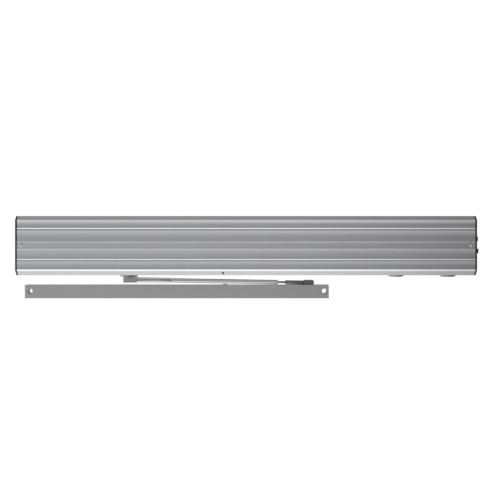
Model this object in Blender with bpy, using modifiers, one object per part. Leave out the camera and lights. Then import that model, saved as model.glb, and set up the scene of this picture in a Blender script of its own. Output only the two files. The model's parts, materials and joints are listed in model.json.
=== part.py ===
"""Swing door closer: a wall header with a spring-return gear drive, a telescopic arm and a slide track.

Frame: millimetres in the constants, metres in the scene, +Z up, +X along the header, the wall at y = 0 and
the front towards -Y. The origin is the middle of the header's back face.
"""

import math

import bmesh
import bpy
from mathutils import Vector

MM = 0.001
WELD = 0.00001
GAP = 0.3  # between touching pieces

# Header case
HEADER_LENGTH = 991.0
HEADER_HEIGHT = 127.8
HEADER_DEPTH = 121.0
WALL = 3.0
CAP_THICKNESS = 3.5
EXTRUSION_LENGTH = HEADER_LENGTH - 2 * CAP_THICKNESS - 2 * GAP
CAP_FACE = HEADER_LENGTH / 2  # x of the right cap's outer face
COVER_BACK = 1.0  # the cover's rear edge stays this far off the wall
TOP_CHAMFER = (10.5, 8.9)  # depth, height
BOTTOM_CHAMFER = (10.5, 9.3)
BOTTOM_FACET = (1.5, 3.4)
# The front's V grooves: height, how far each reaches down and up from there, depth below the band above it
GROOVES = ((-30.6, 3.4, 1.4, 0.8), (-8.3, 0.8, 0.8, 0.45), (6.8, 0.8, 1.1, 0.6), (35.9, 3.6, 1.7, 0.9))
# The five hollow bands between them: degrees that each one's bottom and top face downwards
BAND_TILTS = ((-6.0, 5.5), (-4.0, 4.5), (-1.5, 2.0), (-6.5, 8.0), (-9.0, 13.0))
BAND_STEPS = 6
SCREW_X = 482.8  # of the cover screws, either side
SCREW_Z = 1.0
SCREW_SHANK = 1.75
LOCK_SCREW = (-49.5, -114.3, -59.2)  # on the bottom chamfer
LOCK_TURN = (90 + math.degrees(math.atan2(*BOTTOM_CHAMFER)), 0, 0)  # local Z to the chamfer's outward normal
PLUG_XS = {"inner": 333.0, "outer": 448.0}
PLUG_RADIUS = 17.5
PLUG_HOLE = 14.5
PLATE_THICKNESS = 4.0
WALL_HOLE_XS = (-478, -100, 262, 470)
WALL_HOLE_Z = 44.0
CABLE_ENTRY = (396, 16)  # x and z of the hole that the cables from the wall come through
CABLE_ENTRY_RADIUS = 13.0

# Switches, in the right end cap
SWITCH_Y = -104.5
SWITCH_ZS = {"mode": 14.5, "power": -11.5}
ROCKER_TILTS = {"mode": 0, "power": 9}
ROCKER_SIZE = (16.6, 9.6)  # front to back, height
ROCKER_PIVOT = CAP_FACE - 1.2
SWITCH_SIZE = (21.0, 13.4)
BEZEL_SIZE = (25.0, 16.0)

# Drive: the spindle is vertical, the layshaft beside it, and the motor lies along X
SPINDLE = (-261.0, -50.0)
SPINDLE_RADIUS = 10.0
COLLAR_RADIUS = 20.0
GEAR_MODULE = 1.5
OUTPUT_TEETH = 48
LAYSHAFT_TEETH = 12
LAYSHAFT_RADIUS = 5.0
LAYSHAFT = (SPINDLE[0] + GEAR_MODULE * (OUTPUT_TEETH + LAYSHAFT_TEETH) / 2, SPINDLE[1])
OUTPUT_GEAR_Z = (-30.0, -16.0)
BEVEL_WHEEL_TEETH = 36
BEVEL_PINION_TEETH = 12
BEVEL_FACE = 9.0
PRESSURE_ANGLE = math.radians(25)
ADDENDUM = 0.8
DEDENDUM = 1.1
BACKLASH = 0.12  # of the module, taken off each tooth's thickness
MOTOR_HEIGHT = 12.0
MOTOR_FACE = -170.7  # x of the gearhead's front
RACK_MODULE = 2.5
RACK_PINION_TEETH = 14
RACK_HEIGHT = 20.0
RACK_PITCH_LINE = SPINDLE[1] - RACK_MODULE * RACK_PINION_TEETH / 2
RACK_BACK = -82.0
RACK_END = -202.0
SPRING_AXIS = (-74.0, RACK_HEIGHT)  # y, z
SPRING_TUBE = (-472.0, -346.0)
SPRING_START = SPRING_TUBE[0] + 10 + GAP
SEAT_FACE = -352.0
PLATE_X = (-345.0, -179.0)
PLATE_Z = (48.0, 56.0)
PLATE_FRONT = -108.0
PILLARS = {"left": (-334, -100), "right": (-190, -100)}

# Arm: it runs from the spindle to the swivel, falls a little and turns a little towards the wall
SWIVEL = (141.3, -12.5)
ARM_SPAN = math.dist(SPINDLE, SWIVEL)
ARM_TURN = math.degrees(math.atan2(SWIVEL[1] - SPINDLE[1], SWIVEL[0] - SPINDLE[0]))
ARM_HEIGHTS = (-75.4, -83.2)  # of its axis, at the spindle and at the swivel
ARM_FALL = math.degrees(math.atan2(ARM_HEIGHTS[0] - ARM_HEIGHTS[1], ARM_SPAN))
HUB_RADIUS = 14.2
HUB_Z = (-81.8, -69.3)
LEVER_END = 93.0
LEVER_HEIGHT = 11.6
TUBE_RADIUS = 4.9
TUBE_END = 333.7
TUBE_BORE = 62.0
ROD_RADIUS = 2.0
ROD_IN_TUBE = 40.0
ROD_END = (351.1, ARM_SPAN - 10.9)
ROD_END_SIZE = (14.0, 8.8)
HEAD_LENGTH = 21.5
HEAD_Z = (-87.4, -77.1)
STUD_RADIUS = 3.5
STUD_TOP = -79.9

# Track
TRACK_X = (-499.0, 186.0)
TRACK_Y = (-25.0, 0.0)
TRACK_Z = (-118.2, -87.8)
TRACK_WALL = 2.2
TRACK_LIP = 2.5
TRACK_SLOT = 9.4
TRACK_HOLE_XS = (-487.5, 176.0)
TRACK_HOLE_Z = -102.0
TRACK_HOLE_RADIUS = 5.8
TRACK_SINK_RADIUS = 7.0  # of the countersink, at the track's front
BLOCK_LENGTH = 38.0
BLOCK_PLAY = 0.5
STOP_THICKNESS = 7.0
LEFT_STOP = -480.0

# Control side
TRAY_X = (10.0, 250.0)
TRAY_HEIGHT = 94.0
BOARD_Y = (-25.9, -24.3)
TRANSFORMER = (306.0, -40.0)


# ---------------------------------------------------------------- tools

def clear_scene():
    for obj in list(bpy.data.objects):
        bpy.data.objects.remove(obj)


def new_collection(name):
    made = bpy.data.collections.new(name)
    bpy.context.scene.collection.children.link(made)
    return made


def material(name, colour, roughness, metallic):
    made = bpy.data.materials.new(name)
    made.use_nodes = True
    shader = made.node_tree.nodes["Principled BSDF"]
    shader.inputs["Base Color"].default_value = (*colour, 1)
    shader.inputs["Roughness"].default_value = roughness
    shader.inputs["Metallic"].default_value = metallic
    made.diffuse_color = (*colour, 1)
    return made


clear_scene()
PARTS = new_collection("door_closer")
CUTTERS = new_collection("cutters")
ANODISED = material("anodised_aluminium", (0.55, 0.55, 0.56), 0.35, 1.0)
CASTING = material("cast_aluminium", (0.5, 0.5, 0.5), 0.55, 1.0)
STEEL = material("steel", (0.45, 0.45, 0.46), 0.3, 1.0)
POLISHED = material("polished_steel", (0.7, 0.7, 0.71), 0.12, 1.0)
OXIDE = material("oxide_steel", (0.03, 0.03, 0.03), 0.5, 0.5)
SATIN = material("satin_steel", (0.5, 0.5, 0.5), 0.3, 1.0)
BLACK_STEEL = material("black_steel", (0.05, 0.05, 0.05), 0.4, 0.6)
BLACK_PLASTIC = material("black_plastic", (0.015, 0.015, 0.016), 0.4, 0.0)
DARK_PAINT = material("dark_paint", (0.08, 0.08, 0.09), 0.5, 0.0)
BRONZE = material("bronze", (0.55, 0.36, 0.16), 0.35, 1.0)
BOARD_GREEN = material("board_green", (0.03, 0.2, 0.08), 0.45, 0.0)
WHITE_NYLON = material("white_nylon", (0.75, 0.74, 0.7), 0.5, 0.0)
COPPER = material("copper_winding", (0.6, 0.25, 0.1), 0.35, 1.0)
RUBBER = material("rubber", (0.03, 0.03, 0.03), 0.8, 0.0)


def add(name, mesh, paint):
    obj = bpy.data.objects.new(name, mesh)
    mesh.materials.clear()
    mesh.materials.append(paint)
    PARTS.objects.link(obj)
    return obj


def axis(name, at, turn=(0, 0, 0), parent=None):
    """An empty on a joint's axis; the pieces that move with it are its children."""
    empty = bpy.data.objects.new(name, None)
    PARTS.objects.link(empty)
    return place(empty, at, turn, parent)


def place(obj, at=(0, 0, 0), turn=(0, 0, 0), parent=None):
    """Puts an object at a point in millimetres, turned in degrees, within its parent."""
    obj.parent = parent
    obj.location = Vector(at) * MM
    obj.rotation_euler = [math.radians(angle) for angle in turn]
    return obj


ALONG_X = (0, 90, 0)  # turns local Z to +X
ALONG_X_SECTION = (90, 0, 90)  # turns a (y, z) outline's local Z to +X
TO_FRONT = (90, 0, 0)  # turns local Z to -Y
SIDE_SECTION = (90, 0, 0)  # turns an (x, z) outline's local Z to -Y


def from_form(name, form, paint):
    mesh = bpy.data.meshes.new(name)
    form.to_mesh(mesh)
    form.free()
    return add(name, mesh, paint)


def outline(name, paint, thickness, *loops):
    """A flat outline, with any holes, extruded by its thickness about local Z = 0 and made a welded mesh."""
    curve = bpy.data.curves.new(name, "CURVE")
    curve.dimensions = "2D"
    curve.fill_mode = "BOTH"
    curve.extrude = thickness * MM / 2
    for points in loops:
        spline = curve.splines.new("POLY")
        spline.points.add(len(points) - 1)
        spline.use_cyclic_u = True
        for point, (x, y) in zip(spline.points, points):
            point.co = (x * MM, y * MM, 0, 1)
    drawn = bpy.data.objects.new(name, curve)
    PARTS.objects.link(drawn)
    bpy.context.view_layer.update()
    graph = bpy.context.evaluated_depsgraph_get()
    mesh = bpy.data.meshes.new_from_object(drawn.evaluated_get(graph))
    bpy.data.objects.remove(drawn)
    form = bmesh.new()
    form.from_mesh(mesh)
    bmesh.ops.remove_doubles(form, verts=form.verts, dist=WELD)
    bpy.data.meshes.remove(mesh)
    return from_form(name, form, paint)


def box(name, paint, low, high, parent=None):
    """A box between two opposite corners."""
    form = bmesh.new()
    bmesh.ops.create_cube(form, size=1)
    bmesh.ops.scale(form, vec=(Vector(high) - Vector(low)) * MM, verts=form.verts)
    return place(from_form(name, form, paint), (Vector(low) + Vector(high)) / 2, parent=parent)


def cylinder(name, paint, radius, low, high, sides=24):
    """A cylinder along local Z, from low to high."""
    form = bmesh.new()
    bmesh.ops.create_cone(
        form, cap_ends=True, segments=sides, radius1=radius * MM, radius2=radius * MM, depth=(high - low) * MM
    )
    bmesh.ops.translate(form, vec=(0, 0, (low + high) / 2 * MM), verts=form.verts)
    return from_form(name, form, paint)


def turned(name, paint, profile, steps=24, ring=False):
    """A turned piece about local Z, from a (radius, height) profile that runs down its outer side."""
    last = len(profile) - 1
    edges = [(i, i + 1) for i in range(last)]
    if ring:
        edges.append((last, 0))
    mesh = bpy.data.meshes.new(name)
    mesh.from_pydata([(r * MM, 0, z * MM) for r, z in profile], edges, [])
    obj = add(name, mesh, paint)
    screw = obj.modifiers.new("turn", "SCREW")
    screw.steps = screw.render_steps = steps
    screw.use_merge_vertices = True
    screw.merge_threshold = WELD
    return obj


def washer(name, paint, outer, inner, low, high, steps=24):
    """A plain ring about local Z."""
    profile = [(outer, high), (outer, low), (inner, low), (inner, high)]
    return turned(name, paint, profile, steps, ring=True)


def wire(name, paint, points, radius, sides_resolution=2):
    """A round wire or cable on straight steps between the given points."""
    curve = bpy.data.curves.new(name, "CURVE")
    curve.dimensions = "3D"
    curve.bevel_depth = radius * MM
    curve.bevel_resolution = sides_resolution
    curve.use_fill_caps = True
    spline = curve.splines.new("POLY")
    spline.points.add(len(points) - 1)
    for point, co in zip(spline.points, points):
        point.co = (*(Vector(co) * MM), 1)
    obj = bpy.data.objects.new(name, curve)
    curve.materials.append(paint)
    PARTS.objects.link(obj)
    return obj


def boolean(target, tool, operation):
    """Cuts a tool from the target, or joins it on, and puts the tool away with the cutters."""
    change = target.modifiers.new(tool.name, "BOOLEAN")
    change.operation = operation
    change.object = tool
    tool.hide_render = True
    tool.display_type = "WIRE"
    PARTS.objects.unlink(tool)
    CUTTERS.objects.link(tool)
    return target


def cut(target, tool):
    return boolean(target, tool, "DIFFERENCE")


def join(target, tool):
    return boolean(target, tool, "UNION")


def round_edges(obj, width, segments=2, angle=40):
    bevel = obj.modifiers.new("round", "BEVEL")
    bevel.width = width * MM
    bevel.segments = segments
    bevel.angle_limit = math.radians(angle)
    return obj


def circle(radius, count, centre=(0, 0)):
    steps = [2 * math.pi * i / count for i in range(count)]
    return [(centre[0] + radius * math.cos(a), centre[1] + radius * math.sin(a)) for a in steps]


def arc(centre, radius, start, end, steps):
    """Points on an arc between two angles in degrees, both ends included."""
    angles = [math.radians(start + (end - start) * i / steps) for i in range(steps + 1)]
    return [(centre[0] + radius * math.cos(a), centre[1] + radius * math.sin(a)) for a in angles]


def smooth_route(points, steps):
    """Points on a smooth curve through the given ones, for a cable."""
    ends = [2 * Vector(points[0]) - Vector(points[1]), 2 * Vector(points[-1]) - Vector(points[-2])]
    route = [ends[0], *map(Vector, points), ends[1]]
    made = []
    for a, b, c, d in zip(route, route[1:], route[2:], route[3:]):
        for i in range(steps):
            t = i / steps
            square, cube = 2 * a - 5 * b + 4 * c - d, 3 * b - a - 3 * c + d
            made.append(0.5 * (2 * b + (c - a) * t + square * t**2 + cube * t**3))
    made.append(route[-2])
    return made


# ---------------------------------------------------------------- gears

def involute(angle):
    return math.tan(angle) - angle


def tooth_flank(teeth, module):
    """(radius, half angle) of a tooth's flank from its root to its tip."""
    pitch = module * teeth / 2
    base = pitch * math.cos(PRESSURE_ANGLE)
    root = pitch - DEDENDUM * module
    tip = pitch + ADDENDUM * module
    half = math.pi / (2 * teeth) - BACKLASH * module / (2 * pitch)
    start = max(base * 1.001, root)
    flank = []
    for radius in (start, (start + tip) / 2, tip):
        flank.append((radius, half + involute(PRESSURE_ANGLE) - involute(math.acos(base / radius))))
    if root < start:
        flank[0] = (root, flank[0][1])
    return flank


def gear_outline(teeth, module, first=0.0):
    """A spur gear's outline with a tooth centred on the first angle, in degrees."""
    flank = tooth_flank(teeth, module)
    points = []
    for i in range(teeth):
        centre = math.radians(first) + 2 * math.pi * i / teeth
        for side, steps in ((-1, flank), (1, flank[::-1])):
            points += [(r * math.cos(centre + side * a), r * math.sin(centre + side * a)) for r, a in steps]
    return points


def bevel_gear(name, paint, teeth, mate_teeth, first, back):
    """A straight bevel gear about local Z, its cone's tip at the origin and its teeth below.

    It is a loft of two tooth outlines, with the profile of the equivalent spur gear on the back cone.
    """
    module = GEAR_MODULE
    cone = math.atan2(teeth, mate_teeth)
    pitch = module * teeth / 2
    equivalent = pitch / math.cos(cone)
    slant = pitch / math.sin(cone)
    flank = [(r - equivalent, a * r) for r, a in tooth_flank(teeth / math.cos(cone), module)]
    outer = []
    for i in range(teeth):
        centre = math.radians(first) + 2 * math.pi * i / teeth
        for side, steps in ((-1, flank), (1, flank[::-1])):
            for height, half_width in steps:
                radius = pitch + height * math.cos(cone)
                z = -(pitch / math.tan(cone) - height * math.sin(cone))
                angle = centre + side * half_width / radius
                outer.append((radius * math.cos(angle), radius * math.sin(angle), z))
    shrink = (slant - BEVEL_FACE) / slant
    inner = [Vector(p) * shrink for p in outer]
    form = bmesh.new()
    rings = [[form.verts.new(Vector(p) * MM) for p in points] for points in (outer, inner)]
    ends = [form.verts.new((0, 0, -back * MM)), form.verts.new((0, 0, inner[0].z * MM))]
    count = len(outer)
    for i in range(count):
        j = (i + 1) % count
        form.faces.new((rings[0][i], rings[0][j], rings[1][j], rings[1][i]))
        form.faces.new((rings[0][j], rings[0][i], ends[0]))
        form.faces.new((rings[1][i], rings[1][j], ends[1]))
    bmesh.ops.recalc_face_normals(form, faces=form.faces)
    return from_form(name, form, paint)


# ---------------------------------------------------------------- header case

def band(low, high, tilts):
    """One hollow band of the cover's front, as (y, z) points upwards. It comes as far as the front plane."""
    rise = (high - low) / BAND_STEPS
    points = [(0, low)]
    for i in range(BAND_STEPS):
        tilt = tilts[0] + (tilts[1] - tilts[0]) * (i + 0.5) / BAND_STEPS
        y, z = points[-1]
        points.append((y - rise * math.tan(math.radians(tilt)), z + rise))
    foremost = min(y for y, z in points)
    return [(y - foremost - HEADER_DEPTH, z) for y, z in points]


def cover_front(low, high):
    """The cover's front from bottom to top: hollow bands with a V groove between each two."""
    starts = [low] + [height + up for height, down, up, depth in GROOVES]
    ends = [height - down for height, down, up, depth in GROOVES] + [high]
    bands = [band(*limits) for limits in zip(starts, ends, BAND_TILTS)]
    points = bands[0]
    for (height, down, up, depth), above in zip(GROOVES, bands[1:]):
        points = points + [(above[0][0] + depth, height)] + above
    return points


def case_section(inset=0.0, back=COVER_BACK, ribbed=True):
    """The case's outline in (y, z) from the bottom rear corner round the front to the top rear corner."""
    top, bottom = HEADER_HEIGHT / 2 - inset, -HEADER_HEIGHT / 2 + inset
    front = -HEADER_DEPTH + inset
    shift = inset * 0.41  # a 45 degree corner's share of the inset
    low_depth, low_height = BOTTOM_CHAMFER
    face_low = bottom + low_height + BOTTOM_FACET[1] - shift
    face_high = top - TOP_CHAMFER[1] + shift
    points = [(-back, bottom), (front + low_depth + BOTTOM_FACET[0] - shift, bottom)]
    points.append((front + BOTTOM_FACET[0], bottom + low_height - shift))
    points += cover_front(face_low, face_high) if ribbed else [(front, face_low), (front, face_high)]
    points += [(front + TOP_CHAMFER[0] - shift, top), (-back, top)]
    return points


def extrusion(name, paint, section):
    """A (y, z) section extruded over the length between the end caps."""
    return place(outline(name, paint, EXTRUSION_LENGTH, section), turn=ALONG_X_SECTION)


def header_cover():
    """The front cover: one extrusion, open at the back, notched at the bottom rear for the spindle."""
    cover = extrusion("header_cover", ANODISED, case_section() + case_section(WALL, ribbed=False)[::-1])
    floor = (WALL - HEADER_HEIGHT) / 2
    notch = [(-15, 60), *arc((0, 0), 15, 180, 360, 12), (15, 60)]
    cut(cover, place(outline("spindle_notch", STEEL, 4 * WALL, notch), (*SPINDLE, floor)))
    for which, x in PLUG_XS.items():
        hole = cylinder(f"plug_hole_{which}", STEEL, PLUG_HOLE, -2 * WALL, 2 * WALL)
        cut(cover, place(hole, (x, SPINDLE[1], floor)))
    for side in (-1, 1):
        hole = cylinder(f"cover_screw_hole_{side}", STEEL, 2.4, -10, 10, 12)
        cut(cover, place(hole, (side * SCREW_X, WALL - HEADER_DEPTH, SCREW_Z), TO_FRONT))
    cut(cover, place(cylinder("lock_screw_hole", STEEL, 2.0, -8, 8, 12), LOCK_SCREW, LOCK_TURN))
    return cover


def end_cap(name, side):
    """A moulded end cap: a plate over the extrusion's end, a rim inside it and a boss for the cover screw."""
    cap = outline(name, BLACK_PLASTIC, CAP_THICKNESS, case_section(ribbed=False))
    place(cap, (side * (CAP_FACE - CAP_THICKNESS / 2), 0, 0), ALONG_X_SECTION)
    outer = case_section(WALL + 0.5, 20, ribbed=False)
    inner = case_section(WALL + 3.0, 20, ribbed=False)
    rim = outline(f"{name}_rim", BLACK_PLASTIC, 10, outer + inner[::-1])
    join(cap, place(rim, (side * (CAP_FACE - CAP_THICKNESS - 4), 0, 0), ALONG_X_SECTION))
    inside = CAP_FACE - CAP_THICKNESS + 1
    low, high = sorted((side * inside, side * (SCREW_X - 9)))
    join(cap, box(f"{name}_boss", BLACK_PLASTIC, (low, -117.4, SCREW_Z - 3.9), (high, -98, SCREW_Z + 3.9)))
    hole = cylinder(f"{name}_boss_hole", STEEL, SCREW_SHANK + 0.35, -14, 14, 12)
    return cut(cap, place(hole, (side * SCREW_X, -110, SCREW_Z), TO_FRONT))


def end_cap_right():
    """The right end cap, with its two openings for the switches."""
    cap = end_cap("end_cap_right", 1)
    for kind, z in SWITCH_ZS.items():
        cut(cap, switch_block(f"{kind}_opening", STEEL, (-20, 5), SWITCH_SIZE, 0.4, z))
    return cap


def cover_screw(name, side):
    """A pan-head screw through the cover's front into an end cap's boss."""
    at = (side * SCREW_X, -HEADER_DEPTH - GAP, SCREW_Z)
    profile = [(0, 2.2), (2.7, 2.1), (3.5, 1.5), (3.8, 0.6), (3.8, 0)]
    profile += [(SCREW_SHANK, 0), (SCREW_SHANK, -15), (0, -15)]
    screw = place(turned(name, STEEL, profile, 16), at, TO_FRONT)
    return cut(screw, place(cylinder(f"{name}_socket", STEEL, 1.9, 0.6, 4, 6), at, TO_FRONT))


def lock_screw():
    """The small screw in the bottom chamfer that keeps the cover from sliding."""
    profile = [(0, 2.2), (1.8, 2.2), (2.3, 1.5), (2.3, 0.4), (1.6, 0.4), (1.6, -9), (0, -9)]
    return place(turned("cover_lock_screw", BLACK_STEEL, profile, 14), LOCK_SCREW, LOCK_TURN)


def back_plate():
    """The wall plate: a shallow channel with holes for the wall screws and the cables through its web."""
    half, lip, web, flange = HEADER_HEIGHT / 2 - WALL - 0.7, 14, PLATE_THICKNESS, 2.5
    section = [(0, -half), (0, half), (-lip, half), (-lip, half - flange), (-web, half - flange)]
    section += [(-web, -half + flange), (-lip, -half + flange), (-lip, -half)]
    plate = extrusion("back_plate", ANODISED, section)
    for x in WALL_HOLE_XS:
        for z in (-WALL_HOLE_Z, WALL_HOLE_Z):
            hole = cylinder(f"wall_hole_{x}_{z:.0f}", STEEL, 4, -web, web, 12)
            cut(plate, place(hole, (x, -web / 2, z), TO_FRONT))
    x, z = CABLE_ENTRY
    entry = cylinder("cable_entry", STEEL, CABLE_ENTRY_RADIUS, -web, web, 24)
    return cut(plate, place(entry, (x, -web / 2, z), TO_FRONT))


def entry_plug(which):
    """A domed blanking plug that snaps into a cable entry in the case's underside."""
    r, neck = PLUG_RADIUS, PLUG_HOLE - 0.5
    profile = [(0, -56.5), (neck, -56.5), (neck, -64.1), (r, -64.2), (r, -67), (r - 2.5, -68.9), (0, -69.5)]
    return place(turned(f"entry_plug_{which}", POLISHED, profile, 28), (PLUG_XS[which], SPINDLE[1], 0))


def switch_block(name, paint, depth, size, margin, z):
    """A box at a switch's place. Its depth runs from the cap's face, and its size grows by the margin."""
    half = [side / 2 + margin for side in size]
    low = (CAP_FACE + depth[0], SWITCH_Y - half[0], z - half[1])
    high = (CAP_FACE + depth[1], SWITCH_Y + half[0], z + half[1])
    return box(name, paint, low, high)


def switch_body(kind):
    """A rocker switch's case: a thin bezel outside the end cap and a hollow body inside it."""
    z = SWITCH_ZS[kind]
    body = switch_block(f"{kind}_switch_body", BLACK_PLASTIC, (-18, 0.4), SWITCH_SIZE, 0, z)
    join(body, switch_block(f"{kind}_bezel", BLACK_PLASTIC, (GAP, 1), BEZEL_SIZE, 0, z))
    return cut(body, switch_block(f"{kind}_pocket", STEEL, (-12, 3), ROCKER_SIZE, 0.6, z))


def rocker(kind):
    """A switch's rocker in its rest position. Its outline is drawn in plan about its pivot."""
    pivot = axis(f"{kind}_rocker_axis", (ROCKER_PIVOT, SWITCH_Y, SWITCH_ZS[kind]), (0, 0, ROCKER_TILTS[kind]))
    half = ROCKER_SIZE[0] / 2
    plan = [(5.1, -half), (3.9, -4), (3.4, 0), (3.9, 4), (5.1, half), (-1.5, half)]
    plan += [*arc((0, 0), half + 0.1, 105, 255, 6), (-1.5, -half)]
    return place(outline(f"{kind}_rocker", BLACK_PLASTIC, ROCKER_SIZE[1], plan), parent=pivot)


def case():
    header_cover()
    back_plate()
    end_cap("end_cap_left", -1)
    end_cap_right()
    for kind in SWITCH_ZS:
        switch_body(kind)
        rocker(kind)
    cover_screw("cover_screw_left", -1)
    cover_screw("cover_screw_right", 1)
    lock_screw()
    for which in PLUG_XS:
        entry_plug(which)


# ---------------------------------------------------------------- drive

def gearbox_plate(name, side):
    """A gearbox plate with a foot on the back plate and seats for the spindle bearing and layshaft bush."""
    near, far = (side * z for z in PLATE_Z)
    foot, back = side * 24, -PLATE_THICKNESS - GAP
    section = [(PLATE_FRONT, near), (back - 6, near), (back - 6, foot)]
    section += [(back, foot), (back, far), (PLATE_FRONT, far)]
    length = PLATE_X[1] - PLATE_X[0]
    plate = place(outline(name, CASTING, length, section), (sum(PLATE_X) / 2, 0, 0), ALONG_X_SECTION)
    middle = (near + far) / 2
    cut(plate, place(cylinder(f"{name}_bearing_seat", STEEL, 18, -9, 9, 28), (*SPINDLE, middle)))
    return cut(plate, place(cylinder(f"{name}_bush_seat", STEEL, 9, -9, 9, 16), (*LAYSHAFT, middle)))


def pillar(side):
    """A pillar between the two gearbox plates."""
    reach = PLATE_Z[0] - GAP
    return place(cylinder(f"gearbox_pillar_{side}", STEEL, 6, -reach, reach, 12), PILLARS[side] + (0,))


def ball_bearing(name, z):
    """A ball bearing's two races, joined by its shield."""
    outer, inner, half = 18 - GAP, SPINDLE_RADIUS + GAP, 4.5
    race, recess = 2.6, half - 1
    profile = [(outer, half), (outer, -half), (outer - race, -half), (outer - race, -recess)]
    profile += [(inner + race, -recess), (inner + race, -half), (inner, -half), (inner, half)]
    profile += [(inner + race, half), (inner + race, recess), (outer - race, recess), (outer - race, half)]
    return place(turned(name, STEEL, profile, 28, ring=True), (*SPINDLE, z))


def spindle_collar():
    """The flanged ring that closes the notch round the spindle under the case."""
    bore, neck, flange = SPINDLE_RADIUS + 0.6, 14.6, COLLAR_RADIUS
    profile = [(neck, -57), (neck, -64.2), (flange, -64.2), (flange, -68), (flange - 0.3, -68.3)]
    profile += [(bore, -68.3), (bore, -57)]
    return place(turned("spindle_collar", POLISHED, profile, 28, ring=True), (*SPINDLE, 0))


def spindle(parent):
    """The output shaft, reduced at the foot for the arm's hub and bored for the hub bolt."""
    r, foot, bore = SPINDLE_RADIUS, 7.4, 4.3
    profile = [(0, 55.5), (r - 1, 55.5), (r, 54.5), (r, -68.9), (foot, -68.9), (foot, -76.6)]
    profile += [(bore, -76.6), (bore, -66), (0, -66)]
    return place(turned("spindle", STEEL, profile, 24), parent=parent)


def spur_gear(name, teeth, module, first, ends, parent):
    """A gear on the spindle, between two heights."""
    loops = [gear_outline(teeth, module, first), circle(SPINDLE_RADIUS + GAP, 20)]
    return place(outline(name, STEEL, ends[1] - ends[0], *loops), (0, 0, sum(ends) / 2), parent=parent)


def layshaft(parent):
    """The layshaft, with its pinion cut in one piece with it. A tooth gap faces the output gear."""
    shaft = place(cylinder("layshaft", STEEL, LAYSHAFT_RADIUS, -55, 55, 16), parent=parent)
    teeth = gear_outline(LAYSHAFT_TEETH, GEAR_MODULE, 180 + 180 / LAYSHAFT_TEETH)
    pinion = outline("layshaft_pinion", STEEL, OUTPUT_GEAR_Z[1] - OUTPUT_GEAR_Z[0] + 2, teeth)
    return join(shaft, place(pinion, (0, 0, sum(OUTPUT_GEAR_Z) / 2), parent=parent))


def bevel_wheel(parent):
    wheel = bevel_gear("bevel_wheel", BRONZE, BEVEL_WHEEL_TEETH, BEVEL_PINION_TEETH, 0, 19)
    place(wheel, (0, 0, MOTOR_HEIGHT), parent=parent)
    bore = cylinder("bevel_wheel_bore", STEEL, LAYSHAFT_RADIUS + GAP, -40, 20, 16)
    return cut(wheel, place(bore, parent=parent))


def motor_shaft(parent):
    """The gearhead's output shaft and bevel pinion. Local Z runs from the pinion's cone tip to the motor."""
    first = 180 / BEVEL_PINION_TEETH
    pinion = bevel_gear("motor_shaft", STEEL, BEVEL_PINION_TEETH, BEVEL_WHEEL_TEETH, first, 29.5)
    place(pinion, turn=(180, 0, 0), parent=parent)
    end = MOTOR_FACE - LAYSHAFT[0] + 11
    return join(pinion, place(cylinder("motor_shaft_rod", STEEL, 4.7, 27, end, 14), parent=parent))


def motor():
    """The gearmotor's fixed pieces: bracket, gearhead, motor case and rear cover, one behind the other."""
    y, z = SPINDLE[1], MOTOR_HEIGHT
    web, back = (MOTOR_FACE - 5.3, MOTOR_FACE - GAP), -PLATE_THICKNESS - GAP
    plan = [(web[0], -84), (web[1], -84), (web[1], back - 5), (-140, back - 5), (-140, back), (web[0], back)]
    bracket = place(outline("motor_bracket", STEEL, 68, plan), (0, 0, z))
    cut(bracket, place(cylinder("bracket_hole", STEEL, 12, -12, 12, 20), (web[0], y, z), ALONG_X))
    gearhead = [(0, 42.4), (25, 42.4), (25, 5), (22, 5), (22, 0), (5.5, 0), (5.5, 13), (0, 13)]
    place(turned("gearhead_case", CASTING, gearhead, 28), (MOTOR_FACE, y, z), ALONG_X)
    body = [(0, 92.4), (29, 92.4), (31, 90), (31, 2), (29, 0), (0, 0)]
    place(turned("motor_case", DARK_PAINT, body, 32), (-128, y, z), ALONG_X)
    rear = [(0, 20), (20, 20), (27, 15), (28, 0), (0, 0)]
    place(turned("motor_rear_cover", BLACK_PLASTIC, rear, 28), (-35.3, y, z), ALONG_X)


def spring_tube():
    """The closer spring's tube on its foot. It is closed at the left but for the adjuster's hole."""
    y, z = SPRING_AXIS
    length = SPRING_TUBE[1] - SPRING_TUBE[0]
    profile = [(23, length), (23, 0), (5.5, 0), (5.5, 4), (20.5, 4), (20.5, length)]
    tube = place(turned("spring_tube", CASTING, profile, 28, ring=True), (SPRING_TUBE[0], y, z), ALONG_X)
    return join(tube, box("spring_tube_foot", CASTING, (-460, -53.2, z - 8), (-358, -4 - GAP, z + 8)))


def spring_adjuster():
    """The hex-headed screw and pad that set the spring's preload."""
    y, z = SPRING_AXIS
    profile = [(0, 10), (16, 10), (16, 4.4), (5, 4.4), (5, -4), (0, -4)]
    screw = place(turned("spring_adjuster", STEEL, profile, 20), (SPRING_TUBE[0], y, z), ALONG_X)
    hexagon = cylinder("adjuster_hexagon", STEEL, 8.5, -9, -2, 6)
    return join(screw, place(hexagon, (SPRING_TUBE[0], y, z), ALONG_X))


def closer_spring():
    """The closer spring at rest length, a helix worked out turn by turn."""
    y, z = SPRING_AXIS
    turns, wire_radius, coil_radius, per_turn = 9, 2.2, 16.2, 12
    start, end = SPRING_START + wire_radius, SEAT_FACE - GAP - wire_radius
    points = []
    for i in range(turns * per_turn + 1):
        angle = 2 * math.pi * i / per_turn
        x = start + (end - start) * i / (turns * per_turn)
        points.append((x, y + coil_radius * math.cos(angle), z + coil_radius * math.sin(angle)))
    return wire("closer_spring", STEEL, points, wire_radius)


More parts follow.
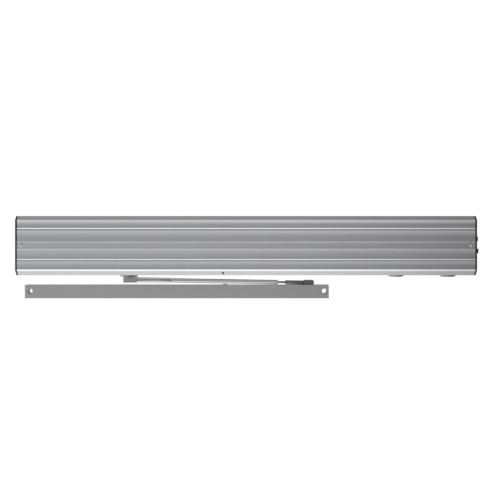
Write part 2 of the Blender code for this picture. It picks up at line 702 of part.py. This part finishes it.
def spring_rack():
    """The rack that the spindle pulls against the spring, with the spring's seat on its end."""
    pitch, slope = math.pi * RACK_MODULE, math.tan(PRESSURE_ANGLE)
    above, below = ADDENDUM * RACK_MODULE, DEDENDUM * RACK_MODULE
    tip, root = RACK_PITCH_LINE + above, RACK_PITCH_LINE - below
    half = pitch / 4 - BACKLASH * RACK_MODULE / 2
    points = [(RACK_END, RACK_BACK), (RACK_END, root)]
    for k in range(6, -4, -1):
        x = SPINDLE[0] + (k + 0.5) * pitch
        right = [(x + half + below * slope, root), (x + half - above * slope, tip)]
        points += right + [(2 * x - u, y) for u, y in right[::-1]]
    points += [(SEAT_FACE + 5, root), (SEAT_FACE + 5, RACK_BACK)]
    rack = place(outline("spring_rack", STEEL, 18, points), (0, 0, RACK_HEIGHT))
    seat = cylinder("spring_seat", STEEL, 19.8, 0, 6, 24)
    return join(rack, place(seat, (SEAT_FACE, *SPRING_AXIS), ALONG_X))


def rack_guide():
    """The post on the lower plate that keeps the rack in mesh."""
    low, face = -PLATE_Z[0] + GAP, RACK_BACK - 0.4
    section = [(-104, low), (-92, low), (-92, 9), (face, 9), (face, 31), (-104, 31)]
    return place(outline("rack_guide", BRONZE, 24, section), (SPINDLE[0], 0, 0), ALONG_X_SECTION)


def drive():
    for level, side in (("lower", -1), ("upper", 1)):
        gearbox_plate(f"gearbox_{level}_plate", side)
        seat = side * sum(PLATE_Z) / 2
        ball_bearing(f"spindle_bearing_{level}", seat)
        bush = washer(f"layshaft_bush_{level}", BRONZE, 9 - GAP, LAYSHAFT_RADIUS + GAP, -4, 4, 16)
        place(bush, (*LAYSHAFT, seat))
    for side in PILLARS:
        pillar(side)
    spindle_collar()
    motor()
    spring_tube()
    spring_adjuster()
    closer_spring()
    spring_rack()
    rack_guide()
    turning = axis("layshaft_axis", (*LAYSHAFT, 0))
    layshaft(turning)
    bevel_wheel(turning)
    motor_shaft(axis("motor_axis", (*LAYSHAFT, MOTOR_HEIGHT), ALONG_X))


# ---------------------------------------------------------------- control side

def control_tray():
    """A folded tray on the back plate that carries the circuit board."""
    back, lip, half, sheet = -PLATE_THICKNESS - GAP, -24, TRAY_HEIGHT / 2, 1.5
    section = [(back, -half), (back, half), (lip, half), (lip, half - sheet), (back - sheet, half - sheet)]
    section += [(back - sheet, -half + sheet), (lip, -half + sheet), (lip, -half)]
    length = TRAY_X[1] - TRAY_X[0]
    return place(outline("control_tray", STEEL, length, section), (sum(TRAY_X) / 2, 0, 0), ALONG_X_SECTION)


def heat_sink(y):
    """A finned block, drawn in plan, for the motor's output stage."""
    base, fin, pitch, count = 20, 2, 9.5, 5
    points = [(-base, 0)]
    for i in range(count):
        x = base - i * pitch
        points += [(x, -5 if i else 0), (x, -32), (x - fin, -32)]
        if i < count - 1:
            points.append((x - fin, -5))
    return place(outline("heat_sink", DARK_PAINT, 64, points), (52, y, 0))


def control_unit():
    """The circuit board and what stands on it."""
    control_tray()
    half, top = TRAY_HEIGHT / 2, BOARD_Y[0] - GAP
    low, high = (TRAY_X[0] + 2, BOARD_Y[0], -half), (TRAY_X[1] - 2, BOARD_Y[1], half)
    box("circuit_board", BOARD_GREEN, low, high)
    heat_sink(top)
    for size, x, radius, tall in (("large", 108, 15, 48), ("small", 142, 11, 36)):
        profile = [(0, tall), (radius - 1.5, tall), (radius, tall - 1.5), (radius, 0), (0, 0)]
        place(turned(f"capacitor_{size}", DARK_PAINT, profile, 20), (x, top, 20), TO_FRONT)
    box("relay", WHITE_NYLON, (168, top - 22, 4), (196, top, 34))
    strip = [(0, 0), (0, 12), (-9, 12), (-9, 8), (-16, 4), (-16, 0)]
    place(outline("terminal_strip", BOARD_GREEN, 120, strip), (150, top, -44), ALONG_X_SECTION)


def rectangle(width, height):
    x, y = width / 2, height / 2
    return [(-x, -y), (x, -y), (x, y), (-x, y)]


def power_supply():
    """The transformer, its winding round the core's middle limb, and the mains terminals."""
    x, y = TRANSFORMER
    back = -PLATE_THICKNESS - GAP
    width, height, stack, limb, window = 66, 55, 34, 22, 33
    core = outline("transformer_core", DARK_PAINT, stack, rectangle(width, height))
    place(core, (x, y, 0), TO_FRONT)
    for side in (-1, 1):
        near, far = sorted((x + side * limb / 2, x + side * limb))
        low, high = (near, y - stack, -window / 2), (far, y + stack, window / 2)
        cut(core, box(f"core_window_{side}", STEEL, low, high))
        inner, outer = sorted((side * (height / 2 - 0.5), side * (height / 2 + 2)))
        join(core, box(f"core_clamp_{side}", STEEL, (x - 30, y - 15, inner), (x + 30, back, outer)))
    coil = [rectangle(limb + 19, stack + 19), rectangle(limb + 2 * GAP, stack + 2 * GAP)]
    place(outline("transformer_winding", COPPER, window - 2 * GAP, *coil), (x, y, 0))
    box("mains_terminal_block", WHITE_NYLON, (372, -30, -40), (420, back, -14))


def cables():
    """The leads that the case holds: motor to board, and switches to board."""
    to_board = [(-14.5, -50, 24), (-6, -50, 26), (4, -47, 38), (16, -42, 50), (32, -36, 51), (44, -31, 44)]
    wire("motor_lead", RUBBER, smooth_route([*to_board, (46, -28.8, 40)], 4), 2.5)
    from_switch = [(CAP_FACE - 21, SWITCH_Y, 14), (466, -100, 20), (446, -84, 38), (410, -70, 48)]
    from_switch += [(340, -60, 51), (270, -50, 48), (240, -42, 42), (228, -29.3, 36)]
    wire("switch_lead", RUBBER, smooth_route(from_switch, 4), 2.2)


# ---------------------------------------------------------------- arm and track

def main_lever(parent, line):
    """The forged lever: a square hub round the spindle's foot and a tapering bar."""
    (low, high), r = HUB_Z, HUB_RADIUS
    side = [(2 - r, low), (17, low), (20, low + 4), (20, high - 1), (19, high), (2 - r, high)]
    lever = place(outline("main_lever", SATIN, 2 * r, side), turn=SIDE_SECTION, parent=parent)
    round_edges(lever, 0.8, 1)
    half = [(12, 10.5), (60, 7.5), (LEVER_END, 6.6)]
    plan = [(x, -y) for x, y in half] + half[::-1]
    bar = round_edges(outline("lever_bar", SATIN, LEVER_HEIGHT, plan), 2.6)
    join(lever, place(bar, parent=line))
    # The bolt's seat, its hole and the foot's hole, from below: radius, low, high
    for radius, start, end in ((9, low - 5, -78.6), (4.6, -80, -75), (7.8, -77, high + 5)):
        cut(lever, place(cylinder(f"hub_bore_{radius}", STEEL, radius, start, end), parent=parent))
    return lever


def hub_bolt(parent):
    """The socket-headed bolt that holds the lever up on the spindle."""
    profile = [(0, -70.5), (3.9, -70.5), (3.9, -78.9), (8.2, -78.9), (8.2, -80.9), (7.4, -81.5), (0, -81.5)]
    bolt = place(turned("hub_bolt", BLACK_STEEL, profile, 20), parent=parent)
    return cut(bolt, place(cylinder("hub_bolt_socket", STEEL, 3.2, -83, -79.6, 6), parent=parent))


def arm_tube(line):
    """The polished arm tube, bored at its end for the threaded rod."""
    r, bore = TUBE_RADIUS, ROD_RADIUS + 0.4
    length = TUBE_END - LEVER_END - GAP
    profile = [(0, length - TUBE_BORE), (bore, length - TUBE_BORE), (bore, length), (r - 0.6, length)]
    profile += [(r, length - 0.6), (r, 0.6), (r - 0.6, 0), (0, 0)]
    return place(turned("arm_tube", POLISHED, profile, 20), (LEVER_END + GAP, 0, 0), ALONG_X, line)


def rod_group(line):
    """The threaded rod and the rod end that it is screwed into."""
    (start, end), (width, height) = ROD_END, ROD_END_SIZE
    rod = cylinder("threaded_rod", OXIDE, ROD_RADIUS, TUBE_END - ROD_IN_TUBE, start + 12, 14)
    place(rod, turn=ALONG_X, parent=line)
    low, high = (start, -width / 2, -height / 2), (end - GAP, width / 2, height / 2)
    bar = round_edges(box("rod_end", BLACK_STEEL, low, high, line), 1.2)
    bore = cylinder("rod_end_bore", STEEL, ROD_RADIUS + GAP, start - 5, start + 12.5, 14)
    return cut(bar, place(bore, turn=ALONG_X, parent=line))


def swivel_head(parent):
    """The black head over the swivel stud; its outline is drawn in side view."""
    (low, high), half, corner = HEAD_Z, HEAD_LENGTH / 2, 3.6
    side = [(-half, low), (half, low), *arc((half - corner, high - corner), corner, 0, 90, 4), (-half, high)]
    head = place(outline("swivel_head", BLACK_STEEL, 17, side), turn=SIDE_SECTION, parent=parent)
    round_edges(head, 0.8, 1)
    seat = cylinder("stud_seat", STEEL, STUD_RADIUS + 0.4, low - 5, STUD_TOP + 0.5, 16)
    cut(head, place(seat, parent=parent))
    screw_hole = cylinder("set_screw_hole", STEEL, 1.9, -3, 2, 12)
    return cut(head, place(screw_hole, (-0.6, -8.5, -82.7), TO_FRONT, parent))


def slider(parent):
    """The slider block, bored for the stud. It fills the track's channel."""
    inner = (TRACK_Y[1] - TRACK_Y[0]) / 2 - TRACK_WALL - BLOCK_PLAY
    half, corner = BLOCK_LENGTH / 2, 3
    edge = half - corner
    front = [(-half, corner - inner), (-edge, -inner), (edge, -inner), (half, corner - inner)]
    plan = front + [(-x, -y) for x, y in front]
    low, high = TRACK_Z[0] + TRACK_WALL + BLOCK_PLAY, TRACK_Z[1] - TRACK_LIP - BLOCK_PLAY
    block = outline("slider_block", WHITE_NYLON, high - low, plan)
    place(block, (0, 0, (low + high) / 2), parent=parent)
    return cut(block, place(cylinder("block_bore", STEEL, STUD_RADIUS + 0.4, -104.5, -80, 16), parent=parent))


def track_channel():
    """The slide track: a channel with its slot on top and a countersunk hole through each end."""
    (front, back), (low, high), wall = TRACK_Y, TRACK_Z, TRACK_WALL
    lip, middle, half = high - TRACK_LIP, (front + back) / 2, TRACK_SLOT / 2
    right = [(back, low), (back, high), (middle + half, high), (middle + half, lip), (back - wall, lip)]
    right.append((back - wall, low + wall))
    left = [(2 * middle - y, z) for y, z in right[::-1]]
    channel = outline("track_channel", ANODISED, TRACK_X[1] - TRACK_X[0], right + left)
    place(channel, (sum(TRACK_X) / 2, 0, 0), ALONG_X_SECTION)
    for x in TRACK_HOLE_XS:
        at = (x, front, TRACK_HOLE_Z)
        hole = cylinder(f"track_hole_{x:.0f}", STEEL, TRACK_HOLE_RADIUS, -30, 5, 20)
        cut(channel, place(hole, at, TO_FRONT))
        cone = [(0, 1), (TRACK_SINK_RADIUS + 1, 1), (TRACK_SINK_RADIUS - 1.8, -1.8), (0, -1.8)]
        sink = turned(f"track_sink_{x:.0f}", STEEL, cone, 20)
        cut(channel, place(sink, at, TO_FRONT))
    return channel


def track_stop(name, start):
    """A rubber stop in the channel, shaped to its inside with a gap all round."""
    side = TRACK_WALL + GAP
    low = (start, TRACK_Y[0] + side, TRACK_Z[0] + side)
    high = (start + STOP_THICKNESS, TRACK_Y[1] - side, TRACK_Z[1] - TRACK_LIP - GAP)
    return box(name, RUBBER, low, high)


def arm():
    """The spindle with its gears, and the arm from its hub to the swivel."""
    pivot = axis("spindle_axis", (*SPINDLE, 0))
    spindle(pivot)
    spur_gear("output_gear", OUTPUT_TEETH, GEAR_MODULE, 0, OUTPUT_GEAR_Z, pivot)
    spur_gear("spring_pinion", RACK_PINION_TEETH, RACK_MODULE, -90, (RACK_HEIGHT - 9, RACK_HEIGHT + 9), pivot)
    along = axis("arm_turn", (0, 0, 0), (0, 0, ARM_TURN), pivot)
    line = axis("arm_line", (0, 0, ARM_HEIGHTS[0]), (0, ARM_FALL, 0), along)
    main_lever(along, line)
    hub_bolt(pivot)
    arm_tube(line)
    rod_group(line)
    swivel = axis("swivel_axis", (ARM_SPAN, 0, 0), parent=along)
    swivel_head(swivel)
    place(cylinder("swivel_stud", STEEL, STUD_RADIUS, -103.5, STUD_TOP, 16), parent=swivel)


def track():
    """The slider and the track that it runs in, which is screwed to the door."""
    slider(axis("slider_axis", (*SWIVEL, 0)))
    track_channel()
    track_stop("track_stop_left", LEFT_STOP)
    track_stop("track_stop_right", SWIVEL[0] + BLOCK_LENGTH / 2 + 2)


case()
drive()
control_unit()
power_supply()
cables()
arm()
track()
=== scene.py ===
import json
import math

import bpy
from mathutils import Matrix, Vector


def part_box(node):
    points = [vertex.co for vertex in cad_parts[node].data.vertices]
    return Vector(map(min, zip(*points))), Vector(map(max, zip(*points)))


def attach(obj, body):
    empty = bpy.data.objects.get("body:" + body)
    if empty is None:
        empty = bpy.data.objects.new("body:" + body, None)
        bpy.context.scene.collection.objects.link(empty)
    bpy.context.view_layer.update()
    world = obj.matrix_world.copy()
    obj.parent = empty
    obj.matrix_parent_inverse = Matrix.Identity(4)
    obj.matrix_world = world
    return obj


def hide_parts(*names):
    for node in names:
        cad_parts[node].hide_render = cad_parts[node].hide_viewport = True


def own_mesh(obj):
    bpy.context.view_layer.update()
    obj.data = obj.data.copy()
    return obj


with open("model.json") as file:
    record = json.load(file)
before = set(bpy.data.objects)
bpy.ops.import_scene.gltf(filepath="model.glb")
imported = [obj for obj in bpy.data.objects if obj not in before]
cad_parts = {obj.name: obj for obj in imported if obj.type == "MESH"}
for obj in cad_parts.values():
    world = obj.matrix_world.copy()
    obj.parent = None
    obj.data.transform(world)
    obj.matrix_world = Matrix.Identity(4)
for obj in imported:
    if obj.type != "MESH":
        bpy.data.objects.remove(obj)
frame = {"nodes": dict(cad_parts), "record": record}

bpy.context.view_layer.update()

MM = 0.001
SCENE = bpy.context.scene
NODES = frame["nodes"]

# ------------------------------------------------------------------ camera, stage and light

CAMERA_AT = (0.0084, -2.021, -0.0094)
LENS = 63.79  # mm, on a 36 mm sensor
FLOOR_Z = -0.52
FLOOR_REACH = 30.0
FLOOR_COLOUR = (0.3, 0.3, 0.305, 1)
WHITE = (1, 1, 1, 1)
BACKDROP = 1.02  # light level of the backdrop, and of the stage where it is seen directly

# The room in front of the object, which it reflects. Directions are unit vectors.
ROOM_STOPS = ((0.0, 0.52), (0.16, 0.49), (0.32, 0.5), (0.6, 0.46), (1.0, 0.46))  # Z of the direction, level
ROOM_SIDES = (0.0, 0.42, 1.0, 0.5)  # X of the direction from, to; share of the level there
BACKDROP_EDGE = (0.88, 0.925)  # Y of the direction where the room turns into the backdrop
FLAG_START = (0.2, 0.36)  # X of the direction where the black flag on the right begins
FLAG_HEIGHT = (0.07, 0.16)  # Z of the direction where it ends, above and below the horizon
FLAG_DEPTH = 0.95  # share of the light that it takes

# The floor's glow by place, from far in front of the object (0) through below it (0.5) to far behind it (1)
FLOOR_STOPS = (
    (0.058, 0.48), (0.14, 0.67), (0.2185, 1.08), (0.287, 1.6), (0.323, 1.75), (0.334, 1.38),
    (0.356, 1.45), (0.39, 2.1), (0.415, 2.0), (0.442, 0.92), (0.475, 0.84), (0.56, 0.9),
)
FLOOR_PEAK = 2.3  # no level is above it
HALF_WAY = 1.0  # metres from the wall face to the places 0.25 and 0.75
FLOOR_SIDES = (0.03, 0.5, 1.0, 0.15)  # lean to the right from, to; share of the level there
LEAN_BASE = 2.0  # metres added to the distance from the wall face that lean is measured against
BEHIND = (0.1, 0.6)  # metres behind the wall face where the sides stop being dimmed
BEHIND_SIDES = (0.35, 0.6, 1.0, 0.0)  # by lean, how far that holds
FAR_FLOOR = (-12.0, -13.0)  # metres along Y where the darker floor far in front starts and is complete
FAR_SIDES = (-0.06, 0.06, 1.0, 0.04)


def tree_node(tree, kind, values=None, **settings):
    """Adds a shader or geometry node. Values, by socket name or index, are constants or sockets to link."""
    node = tree.nodes.new(kind)
    for key, value in settings.items():
        setattr(node, key, value)
    for key, value in (values or {}).items():
        if isinstance(value, bpy.types.NodeSocket):
            tree.links.new(value, node.inputs[key])
        else:
            node.inputs[key].default_value = value
    return node


def spread(tree, value, low, high, start, end, kind="SMOOTHSTEP"):
    """Maps a value from low..high onto start..end."""
    values = {"Value": value, "From Min": low, "From Max": high, "To Min": start, "To Max": end}
    return tree_node(tree, "ShaderNodeMapRange", values, interpolation_type=kind).outputs["Result"]


def math_node(tree, operation, *values):
    return tree_node(tree, "ShaderNodeMath", dict(enumerate(values)), operation=operation).outputs[0]


def ramp(tree, value, stops, scale=1.0):
    """A line through (position, level) stops, times the scale, which no level is above."""
    node = tree_node(tree, "ShaderNodeValToRGB", {0: value})
    node.color_ramp.interpolation = "LINEAR"
    elements = node.color_ramp.elements
    while len(elements) < len(stops):
        elements.new(0.5)
    for element, (position, level) in zip(elements, stops):
        element.position = position
        element.color = (level / scale,) * 3 + (1,)
    return math_node(tree, "MULTIPLY", node.outputs[0], scale)


def seen_plain(tree, lit, plain):
    """The lit shader for everything that reflects it, and the plain one where it is seen directly."""
    direct = tree_node(tree, "ShaderNodeLightPath").outputs["Is Camera Ray"]
    mixed = tree_node(tree, "ShaderNodeMixShader", {0: direct, 1: lit.outputs[0], 2: plain.outputs[0]})
    return mixed.outputs[0]


def coordinates(tree, kind):
    """The X, Y and Z sockets of the generated or object coordinates."""
    where = tree_node(tree, "ShaderNodeTexCoord").outputs[kind]
    return tree_node(tree, "ShaderNodeSeparateXYZ", {0: where}).outputs


def camera():
    data = bpy.data.cameras.new("camera")
    data.lens = LENS
    data.sensor_width = 36
    data.clip_start = 0.01
    made = bpy.data.objects.new("camera", data)
    made.location = CAMERA_AT
    made.rotation_euler = (math.pi / 2, 0, 0)
    SCENE.collection.objects.link(made)
    SCENE.camera = made


def studio():
    """A white backdrop behind the object and a dimmer room in front of it, darker on the right."""
    world = bpy.data.worlds.new("studio")
    world.use_nodes = True
    SCENE.world = world
    tree = world.node_tree
    tree.nodes.clear()
    axes = coordinates(tree, "Generated")
    room = ramp(tree, axes["Z"], ROOM_STOPS)
    side = spread(tree, axes["X"], *ROOM_SIDES)
    behind = spread(tree, axes["Y"], *BACKDROP_EDGE, 0.0, 1.0)
    right = spread(tree, axes["X"], *FLAG_START, 0.0, 1.0)
    height = math_node(tree, "ABSOLUTE", axes["Z"])
    flag = math_node(tree, "MULTIPLY", right, spread(tree, height, *FLAG_HEIGHT, FLAG_DEPTH, 0.0))
    side = math_node(tree, "MULTIPLY", side, math_node(tree, "SUBTRACT", 1.0, flag))
    front = math_node(tree, "MULTIPLY", room, side)
    front = math_node(tree, "MULTIPLY", front, math_node(tree, "SUBTRACT", 1.0, behind))
    level = math_node(tree, "ADD", front, math_node(tree, "MULTIPLY", behind, BACKDROP))
    lit = tree_node(tree, "ShaderNodeBackground", {"Color": WHITE, "Strength": level})
    plain = tree_node(tree, "ShaderNodeBackground", {"Color": WHITE, "Strength": BACKDROP})
    out = tree_node(tree, "ShaderNodeOutputWorld")
    tree.links.new(seen_plain(tree, lit, plain), out.inputs[0])


def floor_glow(tree):
    """The floor's light level: brightest just in front of the object, dimmer farther out and to the right."""
    axes = coordinates(tree, "Object")
    distance = math_node(tree, "ABSOLUTE", axes["Y"])
    packed = math_node(tree, "DIVIDE", axes["Y"], math_node(tree, "ADD", distance, HALF_WAY))
    along = ramp(tree, math_node(tree, "MULTIPLY_ADD", packed, 0.5, 0.5), FLOOR_STOPS, FLOOR_PEAK)
    lean = math_node(tree, "DIVIDE", axes["X"], math_node(tree, "ADD", distance, LEAN_BASE))
    side = spread(tree, lean, *FLOOR_SIDES)
    behind = spread(tree, axes["Y"], *BEHIND, 0.0, 1.0)
    inner = spread(tree, lean, *BEHIND_SIDES)
    side = math_node(tree, "MAXIMUM", side, math_node(tree, "MULTIPLY", behind, inner))
    far = spread(tree, axes["Y"], *FAR_FLOOR, 1.0, 0.0)
    side = math_node(tree, "MULTIPLY", side, math_node(tree, "MAXIMUM", far, spread(tree, lean, *FAR_SIDES)))
    return math_node(tree, "MULTIPLY", along, side)


def floor():
    """A pale floor that glows softly and looks plain white where it is seen directly."""
    size = FLOOR_REACH
    mesh = bpy.data.meshes.new("floor")
    corners = [(-size, -size, 0), (size, -size, 0), (size, size, 0), (-size, size, 0)]
    mesh.from_pydata(corners, [], [(0, 1, 2, 3)])
    made = bpy.data.objects.new("floor", mesh)
    made.location = (0, 0, FLOOR_Z)
    SCENE.collection.objects.link(made)
    paint = bpy.data.materials.new("floor")
    paint.use_nodes = True
    tree = paint.node_tree
    shader = tree.nodes["Principled BSDF"]
    shader.inputs["Base Color"].default_value = FLOOR_COLOUR
    shader.inputs["Roughness"].default_value = 0.9
    shader.inputs["Specular IOR Level"].default_value = 0.0
    shader.inputs["Emission Color"].default_value = WHITE
    tree.links.new(floor_glow(tree), shader.inputs["Emission Strength"])
    plain = tree_node(tree, "ShaderNodeEmission", {"Color": WHITE, "Strength": BACKDROP})
    tree.links.new(seen_plain(tree, shader, plain), tree.nodes["Material Output"].inputs[0])
    mesh.materials.append(paint)


# ------------------------------------------------------------------ materials

NOISE_SPAN = (0.3, 0.7)  # the noise values that the tone and the roughness follow
RELIEF = 0.0004  # metres, the height of the grain at full strength
DRAWN = (6, 900, 900)  # lines drawn along X when the aluminium is extruded
TURNED = (40, 900, 900)
EVEN = (500, 500, 500)


def material(name, colour, roughness, metallic, grain, tint, rough, bump, specular=0.5):
    """A finish with grain: noise, stretched along the axes, that varies its tone, roughness and relief.

    grain is the noise's detail per metre along X, Y and Z. tint is the share by which the tone varies, rough
    is how much the roughness varies, and bump is the relief's strength.
    """
    made = bpy.data.materials.new(name)
    made.use_nodes = True
    tree = made.node_tree
    shader = tree.nodes["Principled BSDF"]
    where = tree_node(tree, "ShaderNodeTexCoord").outputs["Object"]
    placed = tree_node(tree, "ShaderNodeMapping", {"Vector": where, "Scale": grain}).outputs[0]
    values = {"Vector": placed, "Scale": 1.0, "Detail": 5.0, "Roughness": 0.6}
    noise = tree_node(tree, "ShaderNodeTexNoise", values).outputs[0]
    tone = spread(tree, noise, *NOISE_SPAN, 1 - tint, 1 + tint, "LINEAR")
    toned = tree_node(tree, "ShaderNodeVectorMath", {0: colour, "Scale": tone}, operation="SCALE").outputs[0]
    tree.links.new(toned, shader.inputs["Base Color"])
    rougher = spread(tree, noise, *NOISE_SPAN, roughness - rough, roughness + rough)
    tree.links.new(rougher, shader.inputs["Roughness"])
    relief = tree_node(tree, "ShaderNodeBump", {"Height": noise, "Strength": bump, "Distance": RELIEF})
    tree.links.new(relief.outputs[0], shader.inputs["Normal"])
    shader.inputs["Metallic"].default_value = metallic
    shader.inputs["Specular IOR Level"].default_value = specular
    return made


# Colour, roughness, metallic, grain, tint, rough, bump and, where it isn't 0.5, specular level
FINISH_ROWS = {
    "anodised_aluminium": ((0.575, 0.578, 0.592), 0.22, 1.0, DRAWN, 0.03, 0.03, 0.03),
    "track_aluminium": ((0.375, 0.377, 0.381), 0.38, 1.0, (25, 700, 700), 0.03, 0.05, 0.05),
    "cast_aluminium": ((0.5, 0.5, 0.5), 0.55, 1.0, EVEN, 0.08, 0.08, 0.4),
    "black_plastic": ((0.014, 0.014, 0.0145), 0.42, 0.0, (1500, 1500, 1500), 0.12, 0.06, 0.3, 0.35),
    "rocker_plastic": ((0.008, 0.008, 0.0085), 0.22, 0.0, (900, 900, 900), 0.08, 0.05, 0.08),
    "steel": ((0.6, 0.6, 0.605), 0.3, 1.0, (300, 300, 300), 0.06, 0.08, 0.06),
    "polished_steel": ((0.36, 0.365, 0.36), 0.1, 1.0, TURNED, 0.03, 0.03, 0.02),
    "satin_steel": ((0.46, 0.46, 0.455), 0.13, 1.0, TURNED, 0.03, 0.02, 0.02),
    "black_steel": ((0.16, 0.162, 0.163), 0.5, 1.0, (400, 400, 400), 0.1, 0.08, 0.1),
    "oxide_steel": ((0.012, 0.012, 0.0125), 0.45, 0.0, (600, 600, 600), 0.1, 0.06, 0.15),
    "gear_steel": ((0.42, 0.42, 0.43), 0.3, 1.0, EVEN, 0.08, 0.08, 0.1),
    "bronze": ((0.6, 0.42, 0.2), 0.32, 1.0, EVEN, 0.08, 0.08, 0.08),
    "dark_paint": ((0.05, 0.05, 0.055), 0.4, 0.0, EVEN, 0.08, 0.06, 0.2),
    "board_green": ((0.03, 0.17, 0.08), 0.35, 0.0, (120, 120, 120), 0.15, 0.05, 0.05),
    "white_nylon": ((0.74, 0.73, 0.69), 0.5, 0.0, EVEN, 0.02, 0.05, 0.06),
    "copper_winding": ((0.6, 0.3, 0.14), 0.3, 1.0, (100, 100, 2200), 0.2, 0.08, 0.6),
    "black_rubber": ((0.02, 0.02, 0.02), 0.75, 0.0, (1200, 1200, 1200), 0.1, 0.06, 0.2),
}
FINISHES = {name: material(name, *row) for name, row in FINISH_ROWS.items()}

# ------------------------------------------------------------------ CAD nodes

SMOOTH_ANGLE = 32  # degrees: edges sharper than this stay sharp
SHARP_ANGLES = {"header_cover": 12}  # so that the cover's shallow grooves stay sharp
WELD_DISTANCE = 1e-6


def softening():
    """Geometry nodes that weld a faceted mesh and shade its round faces smooth."""
    tree = bpy.data.node_groups.new("soften", "GeometryNodeTree")
    tree.interface.new_socket("Geometry", in_out="INPUT", socket_type="NodeSocketGeometry")
    angle = tree.interface.new_socket("Angle", in_out="INPUT", socket_type="NodeSocketFloat")
    angle.default_value = math.radians(SMOOTH_ANGLE)
    tree.interface.new_socket("Geometry", in_out="OUTPUT", socket_type="NodeSocketGeometry")
    source = tree.nodes.new("NodeGroupInput")
    values = {"Geometry": source.outputs[0], "Distance": WELD_DISTANCE}
    weld = tree_node(tree, "GeometryNodeMergeByDistance", values)
    bend = tree_node(tree, "GeometryNodeInputMeshEdgeAngle").outputs["Unsigned Angle"]
    sharp = tree_node(tree, "FunctionNodeCompare", {0: bend, 1: source.outputs[1]}, operation="GREATER_THAN")
    values = {"Mesh": weld.outputs[0], "Remove Custom": True}
    normals = tree_node(tree, "GeometryNodeSetMeshNormal", values, mode="SHARPNESS")
    tree.links.new(sharp.outputs[0], normals.inputs["Edge Sharpness"])
    out = tree.nodes.new("NodeGroupOutput")
    tree.links.new(normals.outputs[0], out.inputs[0])
    return tree


SOFTEN = softening()
ANGLE_INPUT = next(item.identifier for item in SOFTEN.interface.items_tree if item.name == "Angle")


def shade(node, angle=SMOOTH_ANGLE):
    """Welds a piece and shades it smooth except at edges sharper than the angle, in degrees."""
    soften = node.modifiers.new("soften", "NODES")
    soften.node_group = SOFTEN
    soften[ANGLE_INPUT] = math.radians(angle)


def dress():
    """Gives every CAD node its finish and smooth shading."""
    slots = {row["node"]: row["material_slot"] for row in frame["record"]["subparts"]}
    for name, node in NODES.items():
        node.material_slots[0].link = "OBJECT"
        node.material_slots[0].material = FINISHES[slots[name]]
        shade(node, SHARP_ANGLES.get(name, SMOOTH_ANGLE))


# ------------------------------------------------------------------ added pieces

STOP_SCREW_AT = (-48.3, -12.5, -87.8)  # mm, on the track's top face
LATHE_STEPS = 36
SPRING_WIRE = 2.2 * MM  # radius
SPRING_TURNS = 10  # with a closed one at each end
CLOSED_PITCH = 2.1 * SPRING_WIRE
TURN_STEPS = 30
WIRE_STEPS = 10


def piece(name, points, faces, finish, body, at=(0, 0, 0)):
    """A new mesh piece, finished, shaded and riding on a body."""
    mesh = bpy.data.meshes.new(name)
    mesh.from_pydata(points, [], faces)
    made = bpy.data.objects.new(name, mesh)
    made.location = at
    SCENE.collection.objects.link(made)
    mesh.materials.append(FINISHES[finish])
    shade(made)
    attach(made, body)
    return made


def bridge(row, steps):
    """The faces between ring number row and the next one, each ring having this many points."""
    sides = []
    for step in range(steps):
        a, b = row * steps + step, row * steps + (step + 1) % steps
        sides.append((a, b, b + steps, a + steps))
    return sides


def lathe(name, rows, finish, body, at):
    """A piece turned from (radius, height, hexagonal) rows in mm, bottom to top; radius is to a flat."""
    points, faces = [], []
    for radius, height, hexagonal in rows:
        for step in range(LATHE_STEPS):
            angle = 2 * math.pi * step / LATHE_STEPS
            flat = math.cos((angle + math.pi / 6) % (math.pi / 3) - math.pi / 6)
            reach = radius / flat if hexagonal else radius
            points.append((reach * math.cos(angle) * MM, reach * math.sin(angle) * MM, height * MM))
    for row in range(len(rows) - 1):
        faces += bridge(row, LATHE_STEPS)
    return piece(name, points, faces, finish, body, [place * MM for place in at])


def spring_place(turn, closed):
    """How far along the spring, from 0 to 1, this many turns reach. closed is one closed end coil's share."""
    if turn < 1:
        return turn * closed
    if turn > SPRING_TURNS - 1:
        return 1 - (SPRING_TURNS - turn) * closed
    return closed + (turn - 1) / (SPRING_TURNS - 2) * (1 - 2 * closed)


def closer_spring():
    """The closing spring, coiled at its rest length in place of the CAD node, which is hidden; the real
    spring shortens as the rack comes towards its fixed left end.
    """
    low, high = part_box("closer_spring")
    x, y, z = low[0], (low[1] + high[1]) / 2, (low[2] + high[2]) / 2
    coil = (high[2] - low[2]) / 2 - SPRING_WIRE
    length = high[0] - low[0] - 2 * SPRING_WIRE
    last = SPRING_TURNS * TURN_STEPS
    points, faces = [], []
    for step in range(last + 1):
        turn = step / TURN_STEPS
        start = x + SPRING_WIRE + spring_place(turn, CLOSED_PITCH / length) * length
        angle = 2 * math.pi * turn
        for side in range(WIRE_STEPS):
            around = 2 * math.pi * side / WIRE_STEPS
            reach = coil + SPRING_WIRE * math.cos(around)
            across = (y + reach * math.cos(angle), z + reach * math.sin(angle))
            points.append((start + SPRING_WIRE * math.sin(around), *across))
        if step:
            faces += bridge(step - 1, WIRE_STEPS)
    faces += [tuple(range(WIRE_STEPS))[::-1], tuple(range(last * WIRE_STEPS, (last + 1) * WIRE_STEPS))]
    made = piece("spring_coils", points, faces, "steel", "header")
    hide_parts("closer_spring")
    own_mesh(made)


def stop_screw():
    """The low button-headed screw that clamps the door stop at its place along the track's slot."""
    rows = [(0, -4.5, False), (3, -4.5, False), (3, 0.3, False), (5.2, 0.3, False), (5.5, 0.6, False)]
    rows += [(5.2, 1.1, False), (4.4, 1.5, False), (3.4, 1.75, False), (2.6, 1.85, False), (2.0, 1.85, True)]
    rows += [(2.0, 0.8, True), (0, 0.7, False)]
    lathe("stop_screw", rows, "polished_steel", "track", STOP_SCREW_AT)


camera()
studio()
floor()
dress()
closer_spring()
stop_screw()

SCENE.view_settings.view_transform = "Standard"
